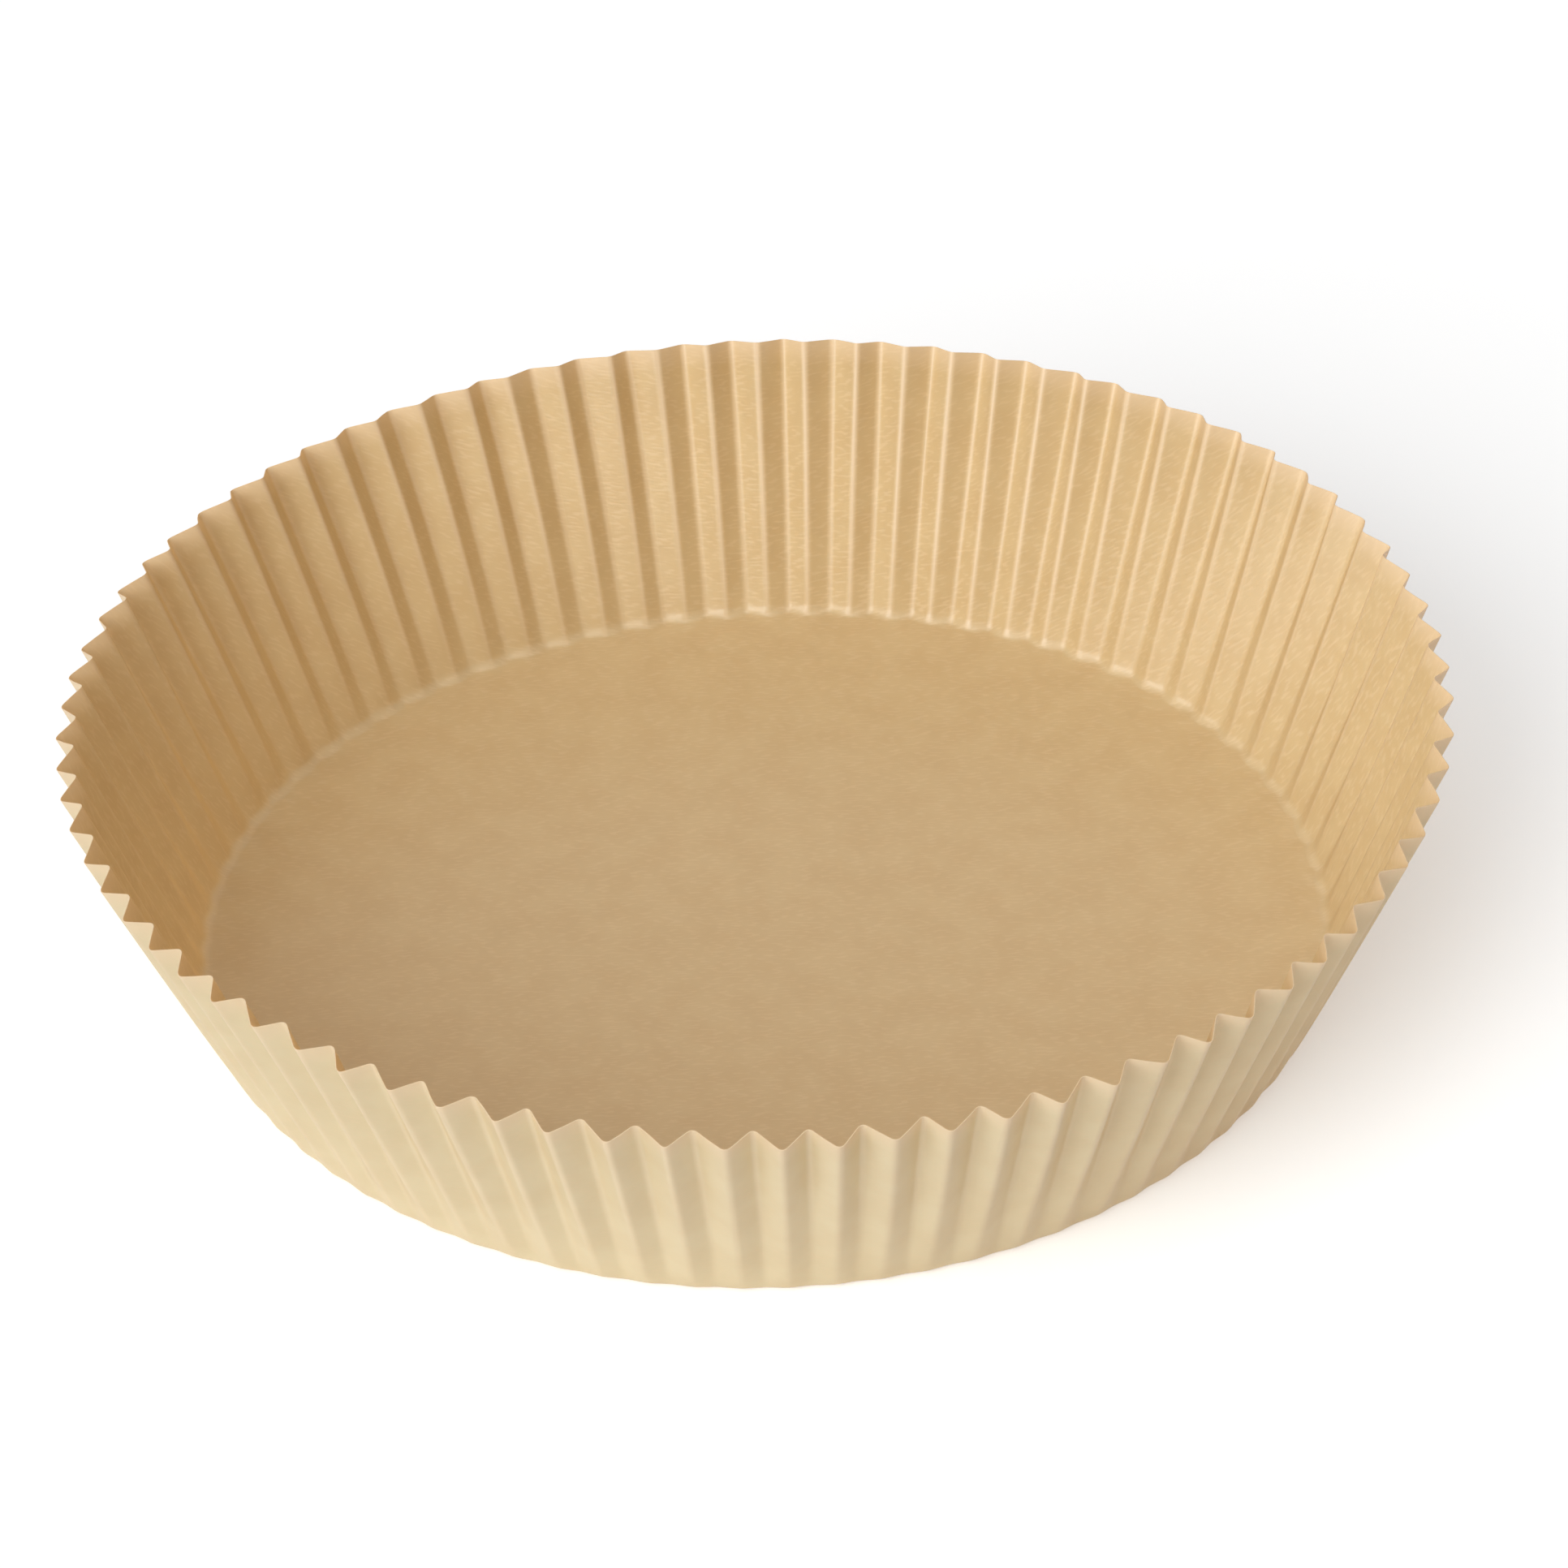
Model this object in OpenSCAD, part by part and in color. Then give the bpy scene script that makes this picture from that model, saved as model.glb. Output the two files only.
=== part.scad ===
// Round air fryer liner: one flat disc of greaseproof paper, pressed into a shallow tray with
// a pleated wall. Millimetres, +Z up, origin at the middle of the floor on the table.

/* [Tray] */
// Diameter of the rim over the tips of the outer folds
rim_d = 200; // [185:1:240]
// Diameter of the flat floor, up to where the paper starts to bend
base_d = 162; // [130:1:175]
// Height of the rim, at the tips of the inner folds
height = 40.5; // [30:0.5:60]
// Radius of the bend from the floor to the wall, on the underside
bend_r = 2; // [1:0.25:4]

/* [Paper] */
// Thickness of the pressed paper
paper_t = 0.1; // [0.08:0.01:0.2]

/* [Pleats] */
// Number of pleats round the wall
pleats = 80; // [60:1:96]
// Width of the flattened strip along each fold
fold_w = 0.7; // [0.4:0.1:1.2]

/* [Hidden] */
base_r = base_d / 2;
// Rings of corners up the bend and up the straight wall
bend_steps = 3;
wall_steps = 4;
// Each pleat has an outer and an inner fold, and each fold strip has two edges
folds = 2 * pleats;
corners = 2 * folds;
// Width of the band of floor that belongs to the pleated wall's own mesh
floor_band = 4;
// Rounds of substitution that settle the rim, whose depth and lean depend on each other
settle_steps = 4;

// Depth of a pleat at radius r of the wall, s of paper up from the floor's edge. Paper doesn't
// stretch, so the blank's circle of radius base_r + s is laid in zigzag on the wall's circle.
function pleat_depth(r, s) =
    let (
        blank = PI * (base_r + s) / pleats,
        wall = PI * r / pleats
    )
    sqrt(max(0, (blank - wall) * (blank + wall - 2 * fold_w)));

// The wall's profile up to a rim point [radius, height]: angle turned in the bend, then the
// length of the straight wall
function wall_path(rim) =
    let (
        v = rim - [base_r, bend_r],
        run = sqrt(v * v - bend_r * bend_r)
    )
    [atan2(v.y, v.x) + atan2(bend_r, run), run];

// Paper in a bend that turns through an angle in degrees
function bend_length(turned) = bend_r * turned * PI / 180;

// Rim point half way between the outer and the inner folds, [radius, height]
function rim_point(n) =
    n == 0 ? [rim_d / 2, height] :
    let (
        rim = rim_point(n - 1),
        path = wall_path(rim),
        depth = pleat_depth(rim.x, bend_length(path[0]) + path[1])
    )
    [rim_d / 2 - depth / 2 * sin(path[0]), height - depth / 2 * cos(path[0])];

path = wall_path(rim_point(settle_steps));
turn = path[0];
run = path[1];
// Diameter of the flat disc that the tray is pressed from
blank_d = base_d + 2 * (bend_length(turn) + run);

// Stations from the floor to the rim: [radius, height, angle turned, paper from the floor's edge]
floor_station = [base_r - floor_band, 0, 0, -floor_band];
bend_stations = [
    for (i = [0:bend_steps])
        let (a = turn * i / bend_steps)
        [base_r + bend_r * sin(a), bend_r * (1 - cos(a)), a, bend_length(a)]
];
// The pleats deepen fastest near the floor, so the stations crowd together there
wall_stations = [
    for (i = [1:wall_steps])
        let (u = run * pow(i / wall_steps, 2), foot = bend_stations[bend_steps])
        [foot[0] + u * cos(turn), foot[1] + u * sin(turn), turn, foot[3] + u]
];
stations = concat([floor_station], bend_stations, wall_stations);

// Fold strip edges round one station. Skin 0 is the underside and skin 1 the inside, a paper
// thickness away, with its strips narrower or wider so that the facets stay parallel.
function ring(station, skin) =
    let (
        r = station[0],
        a = station[2],
        depth = pleat_depth(r, station[3]),
        slant = atan2(depth, PI * r / pleats - fold_w),
        narrowing = skin * paper_t * tan(slant / 2)
    )
    [
        for (k = [0:folds - 1], side = [-1, 1])
            let (
                outward = 1 - 2 * (k % 2),
                half_strip = fold_w / 2 - outward * narrowing,
                azimuth = k * 360 / folds + side * half_strip / r * 180 / PI,
                offset = outward * depth / 2 - skin * paper_t,
                radius = r + offset * sin(a)
            )
            [radius * cos(azimuth), radius * sin(azimuth), station[1] - offset * cos(a)]
    ];

rings = len(stations);
function corner(skin, i, j) = (skin * rings + i) * corners + j % corners;

// Two triangles of a strip between corners j and j + 1, split along mirrored diagonals so that
// the two facets of a pleat match
function quad(a, b, c, d, mirrored) = mirrored ? [[a, b, d], [b, c, d]] : [[a, b, c], [a, c, d]];

wall_points = [
    for (skin = [0, 1], station = stations)
        each ring(station, skin)
];
wall_faces = [
    for (j = [0:corners - 1])
        let (mirrored = j % 4 > 1)
        each concat(
            // Underside and inside, ring by ring
            [for (i = [0:rings - 2]) each quad(
                corner(0, i, j), corner(0, i + 1, j), corner(0, i + 1, j + 1), corner(0, i, j + 1),
                mirrored)],
            [for (i = [0:rings - 2]) each quad(
                corner(1, i, j), corner(1, i, j + 1), corner(1, i + 1, j + 1), corner(1, i + 1, j),
                mirrored)],
            // Cut edge at the rim, and the edge inside the floor
            quad(corner(0, rings - 1, j), corner(1, rings - 1, j),
                corner(1, rings - 1, j + 1), corner(0, rings - 1, j + 1), mirrored),
            quad(corner(0, 0, j), corner(0, 0, j + 1), corner(1, 0, j + 1), corner(1, 0, j), mirrored)
        )
];

module pleated_wall() {
    polyhedron(points = wall_points, faces = wall_faces, convexity = 10);
}

module floor_disc() {
    cylinder(r = base_r - floor_band / 2, h = paper_t, $fn = corners);
}

module liner() {
    color([0.85, 0.74, 0.55])
    union() {
        floor_disc();
        pleated_wall();
    }
}

liner();
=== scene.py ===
"""A round air fryer liner of pressed greaseproof paper, on a plain white studio floor.

One flat disc of paper is pressed into a shallow tray with a pleated wall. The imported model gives
the rim and the height, and the sheet is worked out here from its own sizes. Paper doesn't stretch,
so wherever the wall is narrower than the disc was, the spare paper stands in the pleats. All
lengths are metres, and angles are radians unless a name ends in _deg.
"""

import logging
from dataclasses import dataclass, field
from enum import Enum

import bpy
import numpy as np
from mathutils import Matrix, Vector


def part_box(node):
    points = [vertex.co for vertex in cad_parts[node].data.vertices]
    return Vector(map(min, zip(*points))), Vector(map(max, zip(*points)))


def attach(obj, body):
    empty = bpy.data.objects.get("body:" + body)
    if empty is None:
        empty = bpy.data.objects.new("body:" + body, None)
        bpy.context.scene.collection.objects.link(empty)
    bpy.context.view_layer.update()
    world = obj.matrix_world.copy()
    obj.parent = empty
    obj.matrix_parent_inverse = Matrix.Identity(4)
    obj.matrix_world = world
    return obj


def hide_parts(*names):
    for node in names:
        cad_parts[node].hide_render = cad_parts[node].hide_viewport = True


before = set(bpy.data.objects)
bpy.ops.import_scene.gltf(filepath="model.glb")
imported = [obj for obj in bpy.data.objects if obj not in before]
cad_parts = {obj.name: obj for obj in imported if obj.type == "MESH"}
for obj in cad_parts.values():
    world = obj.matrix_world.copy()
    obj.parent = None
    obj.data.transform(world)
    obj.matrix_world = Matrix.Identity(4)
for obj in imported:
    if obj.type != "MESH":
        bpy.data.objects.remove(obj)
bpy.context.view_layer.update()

LOG = logging.getLogger("liner")
MM = 0.001
Colour = tuple[float, float, float]
Span = tuple[float, float]
Socket = bpy.types.NodeSocket
WHITE: Colour = (1.0, 1.0, 1.0)


class Skin(Enum):
    """The two faces of the sheet, as the side of its middle that each lies on."""

    INSIDE = 1.0
    UNDERSIDE = -1.0


@dataclass(frozen=True)
class Wave:
    """A slow swell round the tray.

    Attributes:
        lobes: Number of crests round the tray.
        height: Height of a crest, in metres, or radians for a wander.
        crest_deg: Azimuth of the first crest.
    """

    lobes: int
    height: float
    crest_deg: float

    def at(self, azimuth: np.ndarray) -> np.ndarray:
        """Height of the swell, a cosine round the tray, at each azimuth."""
        return self.height * np.cos(self.lobes * (azimuth - np.radians(self.crest_deg)))


@dataclass
class Stations:
    """Stops along the paper from the floor's edge to the rim, as whole arrays.

    Attributes:
        paper: Paper up from the floor's edge.
        radius: Radius half way between the folds.
        height: Height over the table half way between the folds.
        lean: Angle that the paper has turned up from the floor.
    """

    paper: np.ndarray
    radius: np.ndarray
    height: np.ndarray
    lean: np.ndarray


@dataclass
class Profile:
    """Half section of the tray: flat floor, bend and straight leaning wall.

    Attributes:
        rim_radius: Radius over the tips of the outer folds.
        rim_height: Height of the tips of the inner folds.
        floor_radius: Radius of the flat floor.
        bend_radius: Radius of the bend from the floor to the wall.
        pleats: Number of pleats round the wall.
        strip: Width of the pressed strip along each fold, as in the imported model.
        pressed: Depth that the die gives the pleats in the bend, where it presses hardest and
            stretches the damp paper.
        crowding: Power that crowds the wall's stops towards the floor, where the pleats begin.
        settle_steps: Rounds of substitution that settle the rim.
        turn: Angle turned in the bend, worked out.
        run: Length of the straight wall, worked out.
    """

    rim_radius: float
    rim_height: float
    floor_radius: float = 81.0 * MM
    bend_radius: float = 2.0 * MM
    pleats: int = 80
    strip: float = 0.7 * MM
    pressed: float = 1.0 * MM
    crowding: float = 1.5
    settle_steps: int = 4
    turn: float = field(init=False)
    run: float = field(init=False)

    def __post_init__(self) -> None:
        """Settle the rim: the pleats' depth there and the wall's lean depend on each other."""
        radius, height = self.rim_radius, self.rim_height
        for _ in range(self.settle_steps):
            self.turn, self.run = self._path(radius, height)
            depth = self.depth(np.pi * radius / self.pleats, self.blank_pitch(self.length))
            radius = self.rim_radius - depth / 2 * np.sin(self.turn)
            height = self.rim_height - depth / 2 * np.cos(self.turn)

    @property
    def length(self) -> float:
        """Paper from the floor's edge to the rim."""
        return self.bend_radius * self.turn + self.run

    @property
    def blank_width(self) -> float:
        """Width of the flat disc that the tray is pressed from."""
        return 2 * (self.floor_radius + self.length)

    def _path(self, radius: float, height: float) -> tuple[float, float]:
        """Turn of the bend and length of the straight wall that reach a rim point.

        Args:
            radius: Radius of the rim point.
            height: Height of the rim point.

        Returns:
            The angle turned in the bend, and the length of the tangent from the bend to the point.
        """
        out, up = radius - self.floor_radius, height - self.bend_radius
        run = float(np.sqrt(out**2 + up**2 - self.bend_radius**2))
        return float(np.arctan2(up, out) + np.arctan2(self.bend_radius, run)), run

    def blank_pitch(self, paper: np.ndarray | float) -> np.ndarray | float:
        """Width from fold to fold on the flat disc, that much paper out from the floor's edge."""
        return np.pi * (self.floor_radius + paper) / self.pleats

    def depth(self, wall_pitch: np.ndarray | float, blank_pitch: np.ndarray | float) -> np.ndarray:
        """Depth of a pleat that takes the blank's pitch up in the wall's.

        The paper from fold to fold is a strip's width of flat fold and one straight facet, so the
        facet is the slanting side of a right triangle whose level side is the rest of the pitch.

        Args:
            wall_pitch: Width from fold to fold along the wall.
            blank_pitch: Width from fold to fold on the flat disc.

        Returns:
            The depth from the outer to the inner fold, nought where the paper lies flat.
        """
        spare = blank_pitch - wall_pitch
        return np.sqrt(np.maximum(spare * (blank_pitch + wall_pitch - 2 * self.strip), 0.0))

    def stations(self, bend_steps: int, wall_steps: int) -> Stations:
        """Stops up the bend, evenly turned, and up the wall, crowded near the floor.

        Args:
            bend_steps: Steps in the bend.
            wall_steps: Steps up the straight wall.

        Returns:
            The stops, from the floor's edge to the rim.
        """
        lean = np.linspace(0.0, self.turn, bend_steps + 1)
        up = self.run * np.linspace(0.0, 1.0, wall_steps + 1)[1:] ** self.crowding
        bend_radius = self.floor_radius + self.bend_radius * np.sin(lean)
        bend_height = self.bend_radius * (1 - np.cos(lean))
        return Stations(
            paper=np.concatenate([self.bend_radius * lean, self.bend_radius * self.turn + up]),
            radius=np.concatenate([bend_radius, bend_radius[-1] + up * np.cos(self.turn)]),
            height=np.concatenate([bend_height, bend_height[-1] + up * np.sin(self.turn)]),
            lean=np.concatenate([lean, np.full(wall_steps, self.turn)]),
        )


@dataclass
class PleatedWall:
    """The pressed wall, as one grid through the middle of the paper.

    Attributes:
        profile: Half section that the wall follows.
        fold_stops: Places from one fold to the next, as shares of the pitch, close at the folds.
        bend_steps: Grid steps in the bend.
        wall_steps: Grid steps up the straight wall.
        floor_swells: Slow waves of the floor's edge, outwards.
        rim_swells: Slow waves of the rim, outwards from the wall.
        wander: Slow uneven spacing of the folds at the rim.
        foot_share: Share of the uneven spacing that is already there at the floor's edge.
        jitter_deg: Uneven place of single folds at the rim.
        bulge: How far a facet bows, from its middle to its folds.
        beats: How far a bow's slow beat runs on from the floor to the rim, in radians.
        beat_share: Share of a bow that beats.
        firm_deg: Azimuth where the die presses hardest.
        firm_fade: How fast the press fades round the tray from there.
        headroom: Share of the height over the table that a pleat may use up in the bend.
        crease_highlight_fade: How fast a crease's paleness, partly painted highlight, falls off inside
            its strip.
        full_slope: Slope of the facets from which a crease is fully pale.
        soft_crease_highlight: Share of its paleness that a crease keeps where the press has faded,
            on the side of the tray whose folds face away from the key lamp, so that its painted
            highlight fades there.
        seed: Seed of the unevenness.
    """

    profile: Profile
    fold_stops: tuple[float, ...] = (0.0, 0.05, 0.1, 0.15, 0.21, 0.5, 0.79, 0.85, 0.9, 0.95)
    bend_steps: int = 5
    wall_steps: int = 16
    floor_swells: tuple[Wave, ...] = (Wave(2, 0.14 * MM, 19.6), Wave(3, 0.47 * MM, 45.3))
    rim_swells: tuple[Wave, ...] = (Wave(2, 0.31 * MM, 113.8), Wave(3, 0.85 * MM, 41.8))
    wander: tuple[Wave, ...] = (
        Wave(1, np.radians(0.76), 97.6),
        Wave(2, np.radians(0.44), 50.3),
        Wave(3, np.radians(0.65), 15.8),
        Wave(4, np.radians(0.19), 25.5),
    )
    foot_share: float = 0.35
    jitter_deg: float = 0.20
    bulge: float = 0.15 * MM
    beats: float = 5.0
    beat_share: float = 0.6
    firm_deg: float = 70.0
    firm_fade: float = 3.0
    headroom: float = 0.9
    crease_highlight_fade: float = 1.4
    full_slope: float = 0.67
    soft_crease_highlight: float = 0.3
    seed: int = 7

    @property
    def folds(self) -> int:
        """Number of folds round the wall, outer and inner in turn."""
        return 2 * self.profile.pleats

    @property
    def outward(self) -> np.ndarray:
        """Sign of every fold, plus for an outer one and minus for an inner one."""
        return np.where(np.arange(self.folds) % 2 == 0, 1.0, -1.0)

    @property
    def stations(self) -> Stations:
        """Stations of the grid, from the floor's edge to the rim."""
        return self.profile.stations(self.bend_steps, self.wall_steps)

    def grid(self) -> tuple[np.ndarray, np.ndarray, np.ndarray]:
        """Work out the wall.

        At each station the paper's height over the mean wall is carried outwards and downwards by
        the station's lean. The slow waves of the floor's edge fade out towards the rim, and those
        of the rim towards the floor. The press is a cosine round the tray, raised to a power.

        Returns:
            Points by station and column, the sharpness of the crease at each from 0 to 1, which is
            partly painted highlight, with a minus sign at an inner fold, and the flat disc's azimuth
            of each column.
        """
        profile, stop = self.profile, self.stations
        share = stop.paper[:, None] / profile.length
        azimuth = self._fold_azimuths(share)
        spread = np.diff(azimuth, axis=1)
        pitch = stop.radius[:, None] * spread
        firm = ((1 + np.cos(azimuth[0, :-1] - np.radians(self.firm_deg))) / 2) ** self.firm_fade
        corner = self._corners(stop, spread, firm)
        slope = np.abs(np.diff(corner, axis=1)) / pitch
        offset = self._offsets(corner, slope, pitch, share).reshape(len(share), -1)
        # Crease paleness: partly the opened fibres, partly painted highlight on the folds that face the
        # key lamp.
        crease_and_highlight = self._creases_and_highlights(slope, pitch, firm).reshape(len(share), -1)

        across = np.array(self.fold_stops)
        angle = (azimuth[:, :-1, None] + spread[:, :, None] * across).reshape(len(share), -1)
        low = sum(wave.at(angle) for wave in self.floor_swells) * (1 - share)
        high = sum(wave.at(angle) for wave in self.rim_swells) * share
        sine, cosine = np.sin(stop.lean)[:, None], np.cos(stop.lean)[:, None]
        radius = stop.radius[:, None] + low + offset * sine + high * np.sin(profile.turn)
        height = stop.height[:, None] - offset * cosine - high * np.cos(profile.turn)
        points = np.stack([radius * np.cos(angle), radius * np.sin(angle), height], axis=-1)
        return points, crease_and_highlight, angle[0]

    def _fold_azimuths(self, share: np.ndarray) -> np.ndarray:
        """Azimuth of every fold at every station.

        A fold's shift from its even place is the sum of the slow waves and of a small step of its
        own. It grows with the square of the share of the way up.

        Args:
            share: Share of the way up the wall of each station, as a column.

        Returns:
            Azimuths by station and fold, with the first fold once more at the end.
        """
        rng = np.random.default_rng(self.seed)
        even = np.arange(self.folds) * 2 * np.pi / self.folds
        shift = sum(wave.at(even) for wave in self.wander)
        shift = shift + np.radians(self.jitter_deg) * rng.standard_normal(self.folds)
        growth = self.foot_share + (1 - self.foot_share) * share**2
        azimuth = even + growth * shift
        return np.concatenate([azimuth, azimuth[:, :1] + 2 * np.pi], axis=1)

    def _corners(self, stop: Stations, spread: np.ndarray, firm: np.ndarray) -> np.ndarray:
        """Height of every fold's corner over the mean wall, before the corner is rounded.

        A pleat's depth is the hypotenuse over the depth that the blank's spare paper gives it and
        the depth that the die presses. The die's part fades with the square of the way up, and in
        the bend it is no more than keeps the pleat off the table. The facets meet beyond their
        strips, so a corner stands out by half the depth, times the pitch over the pitch less a
        strip, as the mean of the facets on its two sides.

        Args:
            stop: Stations of the grid.
            spread: Angle from fold to fold, by station and fold.
            firm: How hard the die presses at each fold, from 0 to 1.

        Returns:
            Heights by station and fold, with the first fold once more at the end.
        """
        profile = self.profile
        share = stop.paper[:, None] / profile.length
        pitch = stop.radius[:, None] * spread
        depth = profile.depth(pitch, (profile.floor_radius + stop.paper)[:, None] * spread[:1])
        off_table = 2 * self.headroom * stop.height / np.cos(stop.lean)
        press = np.minimum(profile.pressed * firm, off_table[:, None]) * (1 - share**2)
        depth = np.hypot(depth, press)
        sharp = pitch * depth / (pitch - profile.strip) / 2
        corner = self.outward * (sharp + np.roll(sharp, 1, axis=1)) / 2
        return np.concatenate([corner, corner[:, :1]], axis=1)

    def _from_folds(self, pitch: np.ndarray) -> tuple[np.ndarray, np.ndarray]:
        """Distance of every place on the facets from the folds on its two sides.

        Args:
            pitch: Width from fold to fold, by station and facet.

        Returns:
            Distances from the fold behind and the fold ahead, by station, facet and place.
        """
        across = np.array(self.fold_stops)
        return across * pitch[:, :, None], (1 - across) * pitch[:, :, None]

    def _offsets(
        self, corner: np.ndarray, slope: np.ndarray, pitch: np.ndarray, share: np.ndarray
    ) -> np.ndarray:
        """Height of the paper over the mean wall.

        It is a straight line from corner to corner, less the gap between a corner and its
        rounding, and a parabola from fold to fold as the facet's bow.

        Args:
            corner: Height of every fold's corner, with the first one once more at the end.
            slope: Slope of every facet.
            pitch: Width of every facet.
            share: Share of the way up the wall of each station, as a column.

        Returns:
            Heights by station, facet and place.
        """
        across = np.array(self.fold_stops)
        behind, ahead = self._from_folds(pitch)
        turned = slope + np.roll(slope, 1, axis=1)
        turned = np.concatenate([turned, turned[:, :1]], axis=1)
        line = corner[:, :-1, None] * (1 - across) + corner[:, 1:, None] * across
        gap = self._gap(ahead, turned[:, 1:]) - self._gap(behind, turned[:, :-1])
        bow = self._bows(share)[:, :, None] * 4 * across * (1 - across)
        return line + self.outward[:, None] * gap + bow

    def _gap(self, along: np.ndarray, turned: np.ndarray) -> np.ndarray:
        """Gap between a sharp corner and its rounding.

        The rounding is a parabola that leaves the facets a strip's width from the corner, so the
        gap is the turn of slope at the corner times the square of the distance left to there,
        over four strips.

        Args:
            along: Distance from the corner, by station, facet and place.
            turned: Sum of the slopes on both sides of the corner, by station and facet.

        Returns:
            The gap at each place, nought beyond the rounding.
        """
        left = np.maximum(self.profile.strip - along, 0.0)
        return turned[:, :, None] * left**2 / (4 * self.profile.strip)

    def _bows(self, share: np.ndarray) -> np.ndarray:
        """How far each facet bows, a random size that grows and slowly beats up the wall.

        Args:
            share: Share of the way up the wall of each station, as a column.

        Returns:
            Bows by station and facet.
        """
        rng = np.random.default_rng(self.seed + 1)
        size = self.bulge * rng.standard_normal(self.folds)
        beat = rng.uniform(0.0, 2 * np.pi, self.folds)
        swing = np.cos(beat + self.beats * share)
        return share * size * (1 - self.beat_share + self.beat_share * swing)

    def _creases_and_highlights(self, slope: np.ndarray, pitch: np.ndarray, firm: np.ndarray) -> np.ndarray:
        """Sharpness of the crease at every place, which opens the paper's fibres.

        It falls off from a fold to the edge of its strip, as a power of the share of the strip
        that is left. At the fold it grows with the facet's slope and with the die's press. It is
        partly opened fibres and partly painted highlight: the press peaks at firm_deg, where the
        folds face the key lamp, so the painted highlight is brightest there and fades where the
        folds lie in shade.

        Args:
            slope: Slope of every facet.
            pitch: Width of every facet.
            firm: How hard the die presses at each fold, from 0 to 1.

        Returns:
            Sharpness by station, facet and place, with a minus sign at an inner fold.
        """
        behind, ahead = self._from_folds(pitch)
        close = np.maximum(1 - np.minimum(behind, ahead) / self.profile.strip, 0.0) ** self.crease_highlight_fade
        bent = np.minimum(slope / self.full_slope, 1.0)
        # Painted highlight: the paleness grows with the press, which peaks where the folds face the key
        # lamp.
        pale_and_highlight = bent * (self.soft_crease_highlight + (1 - self.soft_crease_highlight) * firm)
        return close * (pale_and_highlight * self.outward)[:, :, None] * np.where(behind < ahead, 1.0, -1.0)


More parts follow.
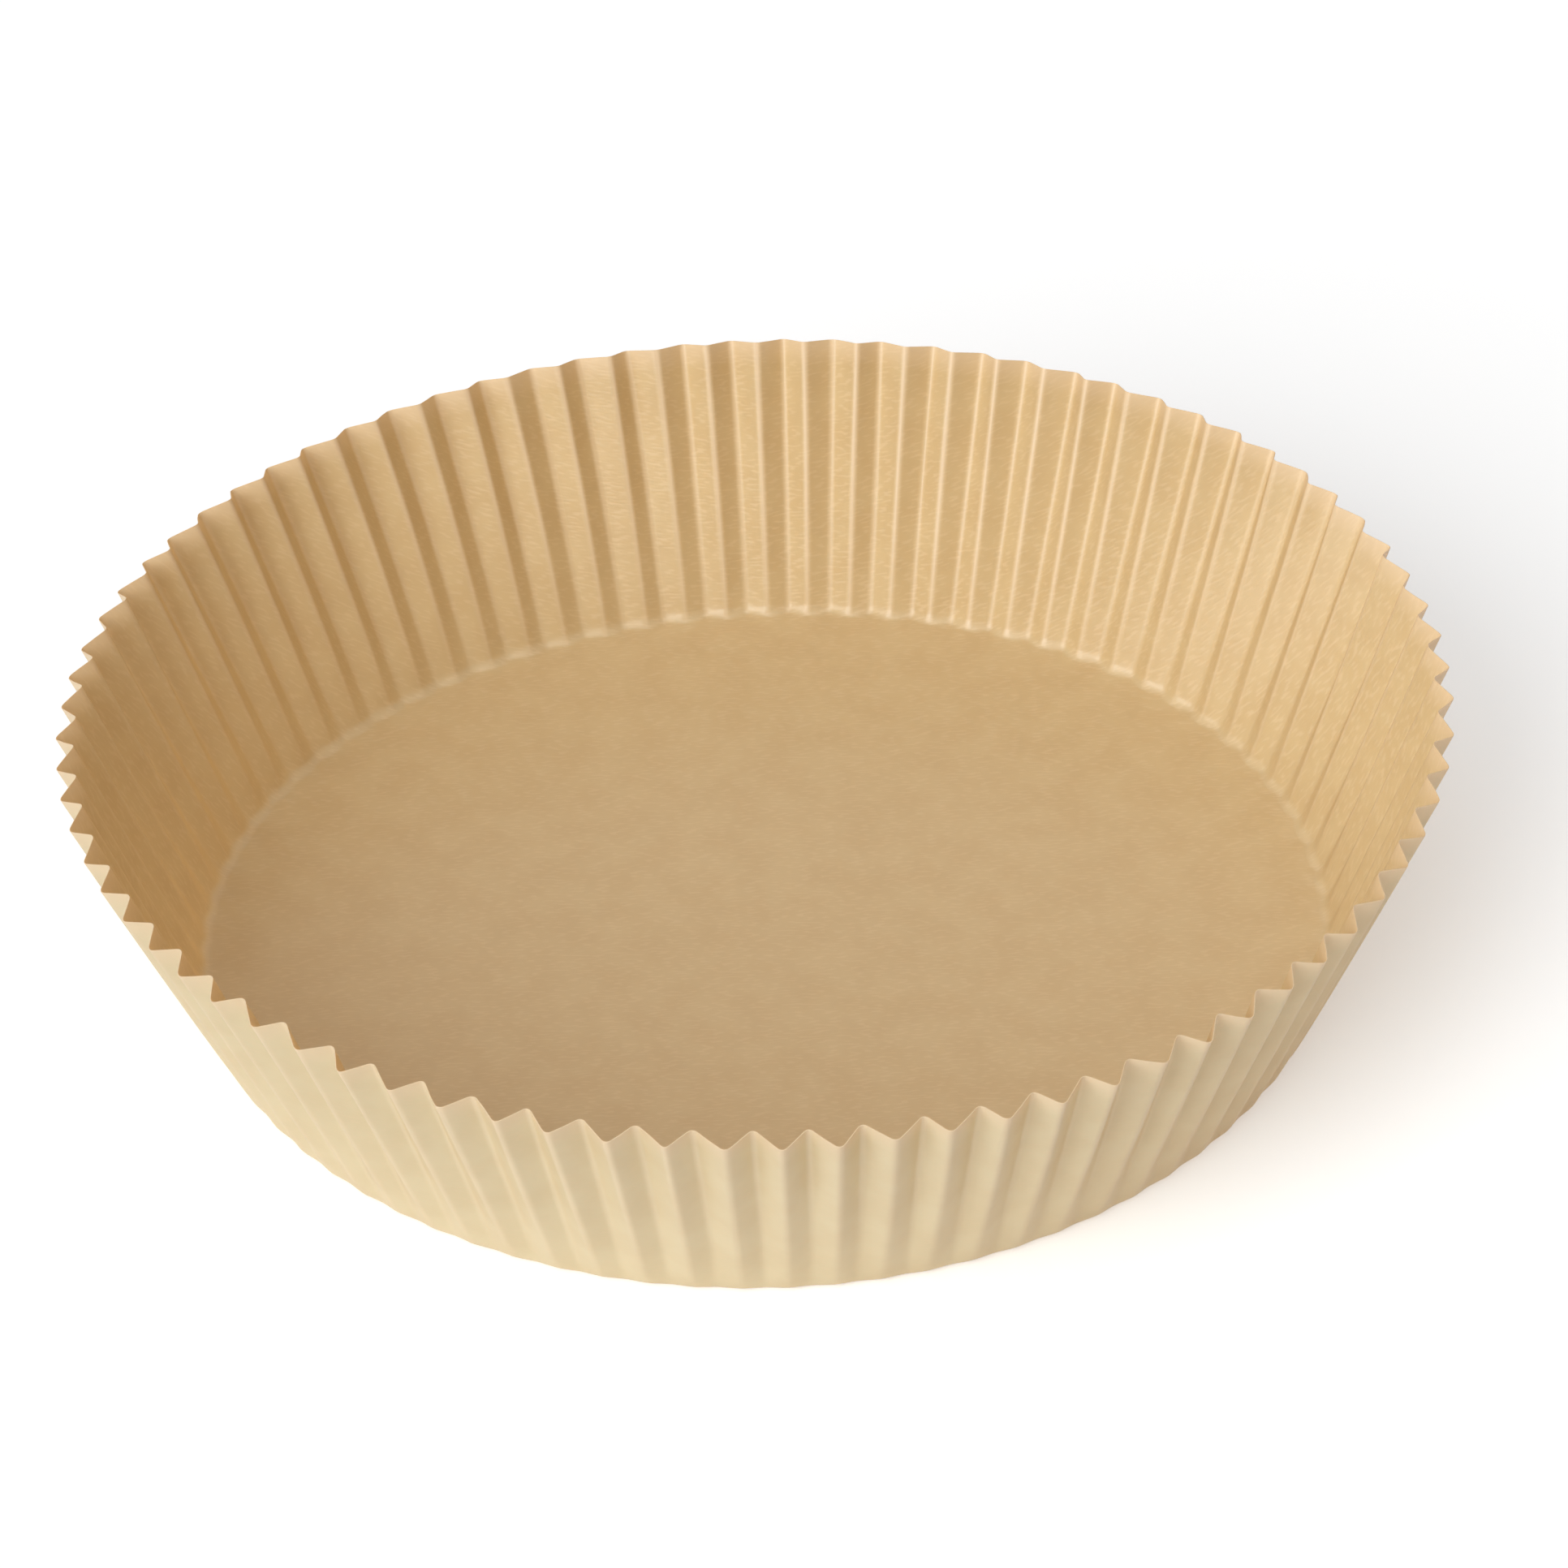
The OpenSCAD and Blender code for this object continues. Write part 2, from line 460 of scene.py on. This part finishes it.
@dataclass
class Sheet:
    """The whole sheet: pleated wall and flat floor, with both faces and a cut edge.

    Attributes:
        wall: The pleated wall.
        thickness: Thickness of the paper.
        spokes: Columns of the floor's grid, which divide the wall's.
        rings: Rings of the floor's grid.
        relief: How far the crests of the floor's waves may stand off the table.
        waves: Number of waves that the relief is made of.
        wavelengths: Shortest and longest of them.
        settling: How late the relief dies out towards the floor's edge.
        edge_highlight_reach: How far down the wall the cut edge's paleness, partly painted highlight
            along the rim, falls off.
        hollow_share: Share of a crease's paleness, partly painted highlight, on the hollow side of
            its fold.
        sharp_deg: Angle between two faces from which their edge is drawn sharp.
        seed: Seed of the floor's relief.
    """

    wall: PleatedWall
    thickness: float = 0.1 * MM
    spokes: int = 160
    rings: int = 26
    relief: float = 0.30 * MM
    waves: int = 6
    wavelengths: Span = (35.0 * MM, 80.0 * MM)
    settling: float = 6.0
    edge_highlight_reach: float = 0.6 * MM
    hollow_share: float = 0.4
    sharp_deg: float = 65.0
    seed: int = 11

    def build(self, name: str) -> bpy.types.Object:
        """Make the sheet's mesh object.

        Args:
            name: Name of the object.

        Returns:
            The object, with its blank map and its point attributes: the creases and the cut edge, both
            partly painted highlight, and the outside, whose paler colour is partly painted light.
        """
        points, crease_and_highlight, blank = self.wall.grid()
        rows, columns = points.shape[:2]
        floor = self._floor(points[0, :: columns // self.spokes])
        mesh = bpy.data.meshes.new(name)
        self._fill(mesh, self._skins(points, floor), self._faces(rows, columns))
        self._mark(mesh, self._disc(blank, floor), self._marks(crease_and_highlight, floor))
        piece = bpy.data.objects.new(name, mesh)
        bpy.context.scene.collection.objects.link(piece)
        return piece

    def _floor(self, edge: np.ndarray) -> np.ndarray:
        """Points of the floor inside its edge.

        Each ring is the edge drawn in towards the middle, and lifts by a few long waves that die
        out at the edge, where the paper lies on the table.

        Args:
            edge: Points of the floor's edge at the spokes.

        Returns:
            Points ring by ring, outermost first, and then the middle.
        """
        share = 1 - np.arange(1, self.rings + 1)[:, None] / (self.rings + 1)
        rng = np.random.default_rng(self.seed)
        x, y = edge[:, 0] * share, edge[:, 1] * share
        lift = np.zeros_like(x)
        for _ in range(self.waves):
            heading = rng.uniform(0.0, np.pi)
            wavelength = rng.uniform(*self.wavelengths)
            phase = rng.uniform(0.0, 2 * np.pi)
            ahead = x * np.cos(heading) + y * np.sin(heading)
            lift += (1 + np.cos(2 * np.pi * ahead / wavelength + phase)) / 2
        height = self.relief * lift / self.waves * (1 - share**self.settling)
        rings = np.stack([x, y, height], axis=-1).reshape(-1, 3)
        return np.concatenate([rings, [[0.0, 0.0, height[-1].mean()]]])

    def _skins(self, points: np.ndarray, floor: np.ndarray) -> np.ndarray:
        """Points of both faces of the sheet, half a thickness off its middle.

        The middle is first lifted by half a thickness, so that the underside lies on the table.

        Args:
            points: Points of the wall by station and column.
            floor: Points of the floor.

        Returns:
            Points of the inside and then of the underside, each with the wall's first.
        """
        core = np.concatenate([points.reshape(-1, 3), floor])
        up = np.tile([0.0, 0.0, 1.0], (len(floor), 1))
        facing = np.concatenate([self._normals(points).reshape(-1, 3), up])
        lift = np.array([0.0, 0.0, self.thickness / 2])
        skins = [core + lift + skin.value * facing * self.thickness / 2 for skin in Skin]
        return np.concatenate(skins)

    def _normals(self, points: np.ndarray) -> np.ndarray:
        """Unit normals of the wall's grid, towards the inside.

        The cross product of the step round the wall and the step up it, each taken between
        neighbours. At the floor's edge the normal is straight up.

        Args:
            points: Grid points by station and column.

        Returns:
            One normal for each point.
        """
        around = np.roll(points, -1, axis=1) - np.roll(points, 1, axis=1)
        upward = np.gradient(points, axis=0)
        normal = np.cross(around, upward)
        normal *= -np.sign(np.einsum("ijk,ijk->ij", normal, points * [1, 1, 0]))[..., None]
        normal /= np.linalg.norm(normal, axis=-1, keepdims=True)
        normal[0] = [0.0, 0.0, 1.0]
        return normal

    def _faces(self, rows: int, columns: int) -> list[np.ndarray]:
        """Corner numbers of all faces, in arrays of faces with as many corners each.

        Args:
            rows: Stations of the wall.
            columns: Columns of the wall.

        Returns:
            For the inside and then the underside, the quads of the wall and of the floor, the
            polygons that join the wall's columns to the floor's spokes and the triangles round
            the middle. The quads of the cut edge come last.
        """
        column = np.arange(columns)
        next_column = (column + 1) % columns
        row = np.arange(rows - 1)[:, None] * columns
        above = row + columns
        wall = np.stack([row + column, row + next_column, above + next_column, above + column], axis=-1)

        start = rows * columns
        spoke = np.arange(self.spokes)
        next_spoke = (spoke + 1) % self.spokes
        ring = start + np.arange(self.rings - 1)[:, None] * self.spokes
        inner = ring + self.spokes
        floor = np.stack([inner + spoke, inner + next_spoke, ring + next_spoke, ring + spoke], axis=-1)
        each = columns // self.spokes
        fan = (spoke[:, None] * each + np.arange(each, -1, -1)) % columns
        joint = np.concatenate([start + np.stack([spoke, next_spoke], axis=1), fan], axis=1)
        last = start + (self.rings - 1) * self.spokes
        centre = np.full(self.spokes, last + self.spokes)
        middle = np.stack([centre, last + spoke, last + next_spoke], axis=1)

        skin = last + self.spokes + 1
        inside = [wall.reshape(-1, 4), floor.reshape(-1, 4), joint, middle]
        under = [faces[:, ::-1] + skin for faces in inside]
        rim = (rows - 1) * columns + np.stack([next_column, column], axis=-1)
        cut = np.concatenate([rim, rim[:, ::-1] + skin], axis=-1)
        return inside + under + [cut]

    def _disc(self, blank: np.ndarray, floor: np.ndarray) -> np.ndarray:
        """Place of every point on the flat disc, in floor widths.

        A point of the wall lies as far out as its paper reaches, in its own column's direction.

        Args:
            blank: The flat disc's azimuth of each column.
            floor: Points of the floor.

        Returns:
            Places of the inside's points and then of the underside's.
        """
        radius = self.wall.profile.floor_radius
        reach = (radius + self.wall.stations.paper)[:, None]
        spread = np.stack([reach * np.cos(blank), reach * np.sin(blank)], axis=-1)
        disc = np.concatenate([spread.reshape(-1, 2), floor[:, :2]])
        return np.tile(disc, (2, 1)) / (2 * radius)

    def _marks(self, crease_and_highlight: np.ndarray, floor: np.ndarray) -> dict[str, np.ndarray]:
        """Point attributes for the finish.

        A crease's paleness, partly opened fibres and partly painted highlight, is full on the side
        that its fold stands out of, and the hollow share of it on the other. The edge's mark, partly
        cut fibres and partly painted highlight along the rim, falls off down the wall as an
        exponential. The outside mark picks the underside, whose paler colour is partly painted light.

        Args:
            crease_and_highlight: Sharpness of the creases on the wall by station and column.
            floor: Points of the floor, which bear no marks.

        Returns:
            Values from 0 to 1 by the name of each attribute, the inside's points first.
        """
        # The edge mark: partly cut fibres, partly painted highlight along the rim.
        down = self.wall.profile.length - self.wall.stations.paper
        edge = np.exp(-down / self.edge_highlight_reach)[:, None] * np.ones_like(crease_and_highlight)
        plain = np.zeros(len(floor))
        crease_and_highlight = np.concatenate([crease_and_highlight.reshape(-1), plain])
        edge = np.concatenate([edge.reshape(-1), plain])
        crease_highlight_by_side = [np.maximum(-skin.value * crease_and_highlight, self.hollow_share * np.abs(crease_and_highlight)) for skin in Skin]
        return {
            "crease_and_highlight": np.concatenate(crease_highlight_by_side),
            "edge": np.tile(edge, 2),
            "outside_tone_and_light": np.repeat([0.0, 1.0], len(crease_and_highlight)),
        }

    def _fill(self, mesh: bpy.types.Mesh, points: np.ndarray, faces: list[np.ndarray]) -> None:
        """Put points and faces into an empty mesh, smooth but for the cut edge.

        Args:
            mesh: The mesh to fill.
            points: All points.
            faces: Arrays of faces, as _faces gives them.
        """
        corners = np.concatenate([part.reshape(-1) for part in faces])
        counts = np.concatenate([np.full(len(part), part.shape[1]) for part in faces])
        mesh.vertices.add(len(points))
        mesh.vertices.foreach_set("co", points.reshape(-1))
        mesh.loops.add(len(corners))
        mesh.loops.foreach_set("vertex_index", corners)
        mesh.polygons.add(len(counts))
        mesh.polygons.foreach_set("loop_start", np.cumsum(counts) - counts)
        mesh.polygons.foreach_set("loop_total", counts)
        mesh.polygons.foreach_set("use_smooth", np.ones(len(counts), dtype=bool))
        mesh.update(calc_edges=True)
        mesh.set_sharp_from_angle(angle=np.radians(self.sharp_deg))

    def _mark(self, mesh: bpy.types.Mesh, disc: np.ndarray, marks: dict[str, np.ndarray]) -> None:
        """Write the blank map and the point attributes.

        Args:
            mesh: The filled mesh.
            disc: Place of each point on the flat disc, in floor widths.
            marks: Values of each point attribute by name.
        """
        corners = np.empty(len(mesh.loops), dtype=np.int64)
        mesh.loops.foreach_get("vertex_index", corners)
        mesh.uv_layers.new(name="blank").data.foreach_set("uv", disc[corners].reshape(-1))
        for name, values in marks.items():
            attribute = mesh.attributes.new(name, "FLOAT", "POINT")
            attribute.data.foreach_set("value", values)


@dataclass
class Recipe:
    """The nodes of a material, added one step at a time.

    Attributes:
        tree: The material's node tree.
        place: Socket with the place that noises are laid out on, if it has any.
    """

    tree: bpy.types.NodeTree
    place: Socket | None = None

    def add(self, kind: str) -> bpy.types.Node:
        """Add a node of one kind."""
        return self.tree.nodes.new(kind)

    def put(self, value: Socket | Colour | float, slot: Socket) -> None:
        """Give a socket a plain number or colour, or link another socket to it.

        Args:
            value: The number, the colour or the socket to link.
            slot: The socket that takes it.
        """
        if isinstance(value, bpy.types.NodeSocket):
            self.tree.links.new(value, slot)
        else:
            slot.default_value = (*value, 1.0) if isinstance(value, tuple) else value

    def noise(
        self, grains: float, detail: float = 0.0, stretch: float = 1.0, turn_deg: float = 0.0
    ) -> Socket:
        """A noise on the flat disc, stretched along one direction.

        Args:
            grains: Number of grains across the floor's width.
            detail: Octaves of finer grain.
            stretch: Share of the grains that is left along the grain.
            turn_deg: Direction of the grain.

        Returns:
            The noise, from 0 to 1.
        """
        turned = self.add("ShaderNodeMapping")
        turned.inputs["Rotation"].default_value = (0.0, 0.0, np.radians(turn_deg))
        turned.inputs["Scale"].default_value = (stretch, 1.0, 1.0)
        grain = self.add("ShaderNodeTexNoise")
        grain.noise_dimensions = "2D"
        self.put(grains, grain.inputs["Scale"])
        self.put(detail, grain.inputs["Detail"])
        self.put(self.place, turned.inputs["Vector"])
        self.put(turned.outputs["Vector"], grain.inputs["Vector"])
        return grain.outputs["Fac"]

    def ranged(self, value: Socket, source: Span, target: Span) -> Socket:
        """Stretch a value from one range to another, and hold it inside that.

        Args:
            value: The value.
            source: Ends of the range that it comes from.
            target: Ends of the range that it goes to.

        Returns:
            The new value.
        """
        node = self.add("ShaderNodeMapRange")
        for slot, number in zip(("From Min", "From Max", "To Min", "To Max"), source + target):
            self.put(number, node.inputs[slot])
        self.put(value, node.inputs["Value"])
        return node.outputs["Result"]

    def mark(self, name: str, share: float) -> Socket:
        """The value of a point attribute, times a share.

        Args:
            name: Name of the attribute, which runs from 0 to 1.
            share: The share.

        Returns:
            The product.
        """
        node = self.add("ShaderNodeAttribute")
        node.attribute_name = name
        return self.ranged(node.outputs["Fac"], (0.0, 1.0), (0.0, share))

    def blend(
        self, share: Socket | float, first: Socket | Colour, second: Socket | Colour, mode: str = "MIX"
    ) -> Socket:
        """Mix two colours.

        Args:
            share: Share of the second colour.
            first: The first colour.
            second: The second colour.
            mode: How they are mixed, as Blender names it.

        Returns:
            The mixed colour.
        """
        node = self.add("ShaderNodeMix")
        node.data_type = "RGBA"
        node.blend_type = mode
        slots = {slot.identifier: slot for slot in node.inputs}
        self.put(share, slots["Factor_Float"])
        self.put(first, slots["A_Color"])
        self.put(second, slots["B_Color"])
        return next(slot for slot in node.outputs if slot.identifier == "Result_Color")


@dataclass(frozen=True)
class GreaseproofPaper:
    """Unbleached greaseproof paper: matt, faintly waxy, with fine fibres and cloudy patches.

    Attributes:
        name: Name of the material.
        inside: Colour of a plain facet on the coated inside.
        outside_tone_and_light: Colour of a plain facet on the bare outside, paler than the inside
            partly as painted light, for the strongly lit outer wall.
        pale_and_highlight: Colour of pale fibres, and along creases and at the cut edge, where the
            fibres are opened and where it is partly painted highlight.
        through: Colour of the light that a skin lets through.
        through_share: Share of the light that goes through a skin.
        specular: Strength of the sheen.
        roughness: Least and greatest roughness, from between the fibres to on them.
        rough_span: Values of the fibres' noise from which and to which the roughness grows.
        crease_highlight_share: How far a crease turns pale, partly as painted highlight.
        edge_highlight_share: How far the cut edge turns pale, partly as painted highlight.
        clouds: Number of clouds across the floor's width.
        cloud: Share of its colour that the paper keeps in a full cloud.
        cloud_share: How full a cloud gets.
        cloud_detail: Octaves of finer cloud.
        cloud_span: Values of their noise where a cloud begins and where it is full.
        fibres: Number of fibres across the floor's width.
        fibre_stretch: Width of a fibre over its length.
        fibre_deg: Direction that most fibres lie in.
        fibre_share: How far a fibre turns pale.
        fibre_span: Values of their noise where a fibre begins and where it is full.
        bump: Height of a fibre.
        bump_share: How much of that height shades.
    """

    name: str = "greaseproof_paper"
    inside: Colour = (0.692, 0.592, 0.356)
    outside_tone_and_light: Colour = (0.875, 0.855, 0.597)
    pale_and_highlight: Colour = (0.950, 0.850, 0.640)
    through: Colour = (0.950, 0.690, 0.400)
    through_share: float = 0.34
    specular: float = 0.9
    roughness: Span = (0.32, 0.46)
    rough_span: Span = (0.4, 0.8)
    crease_highlight_share: float = 0.8
    edge_highlight_share: float = 0.6
    clouds: float = 26.0
    cloud: Colour = (0.93, 0.89, 0.84)
    cloud_share: float = 0.55
    cloud_detail: float = 2.0
    cloud_span: Span = (0.35, 0.65)
    fibres: float = 440.0
    fibre_stretch: float = 0.22
    fibre_deg: float = 24.0
    fibre_share: float = 0.22
    fibre_span: Span = (0.55, 0.75)
    bump: float = 0.04 * MM
    bump_share: float = 0.35

    def make(self) -> bpy.types.Material:
        """Build the node material.

        Returns:
            The material.
        """
        material = bpy.data.materials.new(self.name)
        material.use_nodes = True
        tree = material.node_tree
        tree.nodes.clear()
        blank = tree.nodes.new("ShaderNodeUVMap")
        blank.uv_map = "blank"
        recipe = Recipe(tree, blank.outputs["UV"])
        fibres = recipe.noise(self.fibres, stretch=self.fibre_stretch, turn_deg=self.fibre_deg)

        shader = recipe.add("ShaderNodeBsdfPrincipled")
        recipe.put(self._colour(recipe, fibres), shader.inputs["Base Color"])
        recipe.put(self.specular, shader.inputs["Specular IOR Level"])
        rough = recipe.ranged(fibres, self.rough_span, self.roughness)
        recipe.put(rough, shader.inputs["Roughness"])
        bump = recipe.add("ShaderNodeBump")
        recipe.put(self.bump_share, bump.inputs["Strength"])
        recipe.put(self.bump, bump.inputs["Distance"])
        recipe.put(fibres, bump.inputs["Height"])
        recipe.put(bump.outputs["Normal"], shader.inputs["Normal"])

        thin = recipe.add("ShaderNodeBsdfTranslucent")
        recipe.put(self.through, thin.inputs["Color"])
        both = recipe.add("ShaderNodeMixShader")
        recipe.put(self.through_share, both.inputs["Fac"])
        recipe.put(shader.outputs["BSDF"], both.inputs[1])
        recipe.put(thin.outputs["BSDF"], both.inputs[2])
        recipe.put(both.outputs["Shader"], recipe.add("ShaderNodeOutputMaterial").inputs["Surface"])
        return material

    def _colour(self, recipe: Recipe, fibres: Socket) -> Socket:
        """Colour of the paper: its two sides, the outside paler partly as painted light, then clouds,
        fibres, creases and the cut edge, the last two partly painted highlight.

        Args:
            recipe: Nodes to add to.
            fibres: The fibres' noise.

        Returns:
            The colour.
        """
        clouds = recipe.noise(self.clouds, self.cloud_detail)
        in_cloud = recipe.ranged(clouds, self.cloud_span, (0.0, self.cloud_share))
        on_fibre = recipe.ranged(fibres, self.fibre_span, (0.0, self.fibre_share))
        # The outside is paler: partly its own tone, partly painted light for the strongly lit outer wall.
        paper = recipe.blend(recipe.mark("outside_tone_and_light", 1.0), self.inside, self.outside_tone_and_light)
        paper = recipe.blend(1.0, paper, recipe.blend(in_cloud, WHITE, self.cloud), "MULTIPLY")
        paper = recipe.blend(on_fibre, paper, self.pale_and_highlight)
        # Creases: partly opened fibres, partly painted highlight on the folds that face the key lamp.
        paper = recipe.blend(recipe.mark("crease_and_highlight", self.crease_highlight_share), paper, self.pale_and_highlight)
        # Cut edge: partly cut fibres, partly painted highlight along the rim.
        return recipe.blend(recipe.mark("edge", self.edge_highlight_share), paper, self.pale_and_highlight)


@dataclass
class Liner:
    """The liner: one sheet of paper, pressed and dressed, in the place of its solid.

    Attributes:
        node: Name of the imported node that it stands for.
        finish: The paper's finish.
        profile: Half section of the tray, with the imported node's rim.
    """

    node: str = "liner"
    finish: GreaseproofPaper = field(default_factory=GreaseproofPaper)
    profile: Profile = field(init=False)

    def __post_init__(self) -> None:
        """Take the rim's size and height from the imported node."""
        low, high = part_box(self.node)
        self.profile = Profile(rim_radius=(high[0] - low[0]) / 2, rim_height=high[2] - low[2])

    def make(self) -> bpy.types.Object:
        """Build the sheet, dress it and seat it on the frame.

        Returns:
            The finished piece.
        """
        piece = Sheet(PleatedWall(self.profile)).build("pressed_paper")
        piece.data.materials.append(self.finish.make())
        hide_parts(self.node)
        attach(piece, "root")
        return piece


@dataclass(frozen=True)
class Lamp:
    """A soft lamp so far away that it lights the whole table evenly.

    Attributes:
        name: Name of the lamp.
        azimuth_deg: Where it stands round the tray, from +X towards +Y.
        elevation_deg: Its height as seen from the tray.
        spread_deg: Width of its disc as seen from the tray.
        strength: Light on a surface that faces it, in watts per square metre.
    """

    name: str
    azimuth_deg: float
    elevation_deg: float
    spread_deg: float
    strength: float

    @property
    def on_table(self) -> float:
        """Brightness that the lamp alone gives to a level white surface, where 1 is white."""
        return self.strength * np.sin(np.radians(self.elevation_deg)) / np.pi

    def make(self) -> None:
        """Put the lamp in the scene."""
        data = bpy.data.lights.new(self.name, "SUN")
        data.angle = np.radians(self.spread_deg)
        data.energy = self.strength
        lamp = bpy.data.objects.new(self.name, data)
        turn, tip = np.radians(self.azimuth_deg), np.radians(self.elevation_deg)
        way = Vector((np.cos(turn) * np.cos(tip), np.sin(turn) * np.cos(tip), np.sin(tip)))
        lamp.location = way
        lamp.rotation_euler = (-way).to_track_quat("-Z", "Y").to_euler()
        bpy.context.scene.collection.objects.link(lamp)


@dataclass
class Studio:
    """Floor, lamps and camera.

    Attributes:
        lamps: The lamps.
        sky: Strength of the even light from all round.
        floor_size: Side of the square floor.
        floor_drop: How far the floor lies under the paper, so that no two faces coincide.
        floor_white: Grey of the floor that the light falls on.
        open_white: Brightness of the open floor as the camera sees it, where 1 is white.
        photo_width: Width of the photograph, in pixels.
        focal_pixels: Focal length of the photograph, in pixels.
        sensor_width: Width of the camera's sensor, in millimetres as Blender has it.
        place: The camera's place.
        aim: Point at the middle of the picture.
        roll_deg: Tilt of the picture about its middle.
        turn_deg: Turn of the camera's place about the tray, which sets the pleats right.
    """

    lamps: tuple[Lamp, ...] = (
        Lamp("key", 228.0, 29.0, 45.0, 2.10),
        Lamp("top", 250.0, 68.0, 50.0, 0.85),
    )
    sky: float = 0.12
    floor_size: float = 6.0
    floor_drop: float = 0.05 * MM
    floor_white: float = 0.9
    open_white: float = 1.03
    photo_width: float = 1932.0
    focal_pixels: float = 7655.0
    sensor_width: float = 36.0
    place: tuple[float, float, float] = (0.0, -729.7 * MM, 546.8 * MM)
    aim: tuple[float, float, float] = (3.35 * MM, 2.6 * MM, 23.6 * MM)
    roll_deg: float = -2.413
    turn_deg: float = -0.6

    @property
    def floor_lift(self) -> float:
        """Glow that brings the open floor to white for the camera, on top of the light it gets."""
        lit = self.sky + sum(lamp.on_table for lamp in self.lamps)
        return self.open_white - self.floor_white * lit

    def make(self) -> None:
        """Build everything that isn't the object."""
        self._floor()
        self._sky()
        for lamp in self.lamps:
            lamp.make()
        self._camera()

    def _floor(self) -> None:
        """A level square floor, just under the paper."""
        half, level = self.floor_size / 2, -self.floor_drop
        mesh = bpy.data.meshes.new("floor")
        corners = [(-half, -half, level), (half, -half, level), (half, half, level), (-half, half, level)]
        mesh.from_pydata(corners, [], [(0, 1, 2, 3)])
        mesh.materials.append(self._floor_finish())
        floor = bpy.data.objects.new("floor", mesh)
        bpy.context.scene.collection.objects.link(floor)

    def _floor_finish(self) -> bpy.types.Material:
        """A matt finish that looks white to the camera and still takes a shadow.

        Its glow lights nothing, so no lamp rays are spent on it.

        Returns:
            The material.
        """
        material = bpy.data.materials.new("floor_white")
        material.cycles.emission_sampling = "NONE"
        material.use_nodes = True
        material.node_tree.nodes.clear()
        recipe = Recipe(material.node_tree)
        matt = recipe.add("ShaderNodeBsdfDiffuse")
        recipe.put((self.floor_white,) * 3, matt.inputs["Color"])
        glow = recipe.add("ShaderNodeEmission")
        recipe.put(self._seen(recipe, 0.0, self.floor_lift), glow.inputs["Strength"])
        total = recipe.add("ShaderNodeAddShader")
        recipe.put(matt.outputs["BSDF"], total.inputs[0])
        recipe.put(glow.outputs["Emission"], total.inputs[1])
        recipe.put(total.outputs["Shader"], recipe.add("ShaderNodeOutputMaterial").inputs["Surface"])
        return material

    def _sky(self) -> None:
        """Even light from all round, white to the camera, too even to need lamp rays of its own."""
        world = bpy.data.worlds.new("studio")
        world.use_nodes = True
        world.cycles.sampling_method = "NONE"
        recipe = Recipe(world.node_tree)
        shade = world.node_tree.nodes["Background"]
        recipe.put(WHITE, shade.inputs["Color"])
        recipe.put(self._seen(recipe, self.sky, 1.0), shade.inputs["Strength"])
        bpy.context.scene.world = world

    def _seen(self, recipe: Recipe, plain: float, seen: float) -> Socket:
        """A strength that changes where the camera sees the place, straight or in a gloss.

        Args:
            recipe: Nodes to add it to.
            plain: Strength for the light that falls on things.
            seen: Strength for what the camera sees.

        Returns:
            The strength.
        """
        path = recipe.add("ShaderNodeLightPath")
        rays = path.outputs["Is Camera Ray"]
        for name in ("Is Glossy Ray", "Is Transmission Ray"):
            either = recipe.add("ShaderNodeMath")
            either.operation = "MAXIMUM"
            recipe.put(rays, either.inputs[0])
            recipe.put(path.outputs[name], either.inputs[1])
            rays = either.outputs[0]
        return recipe.ranged(rays, (0.0, 1.0), (plain, seen))

    def _camera(self) -> None:
        """The camera at the photograph's place and angle."""
        data = bpy.data.cameras.new("camera")
        data.sensor_width = self.sensor_width
        data.lens = self.focal_pixels / self.photo_width * self.sensor_width
        camera = bpy.data.objects.new("camera", data)
        place, aim = Vector(self.place), Vector(self.aim)
        gaze = (aim - place).to_track_quat("-Z", "Y").to_matrix().to_4x4()
        roll = Matrix.Rotation(np.radians(self.roll_deg), 4, "Z")
        turn = Matrix.Rotation(np.radians(self.turn_deg), 4, "Z")
        camera.matrix_world = turn @ Matrix.Translation(place) @ gaze @ roll
        bpy.context.scene.collection.objects.link(camera)
        bpy.context.scene.camera = camera


def main() -> None:
    """Build the studio and the liner, and report the liner's sheet."""
    logging.basicConfig(level=logging.INFO, format="%(name)s %(message)s")
    bpy.context.scene.view_settings.view_transform = "Standard"
    Studio().make()
    liner = Liner()
    piece = liner.make()
    blank = liner.profile.blank_width / MM
    LOG.info("%s: %d faces, from a disc of %.1f mm", piece.name, len(piece.data.polygons), blank)


if __name__ == "__main__":
    main()
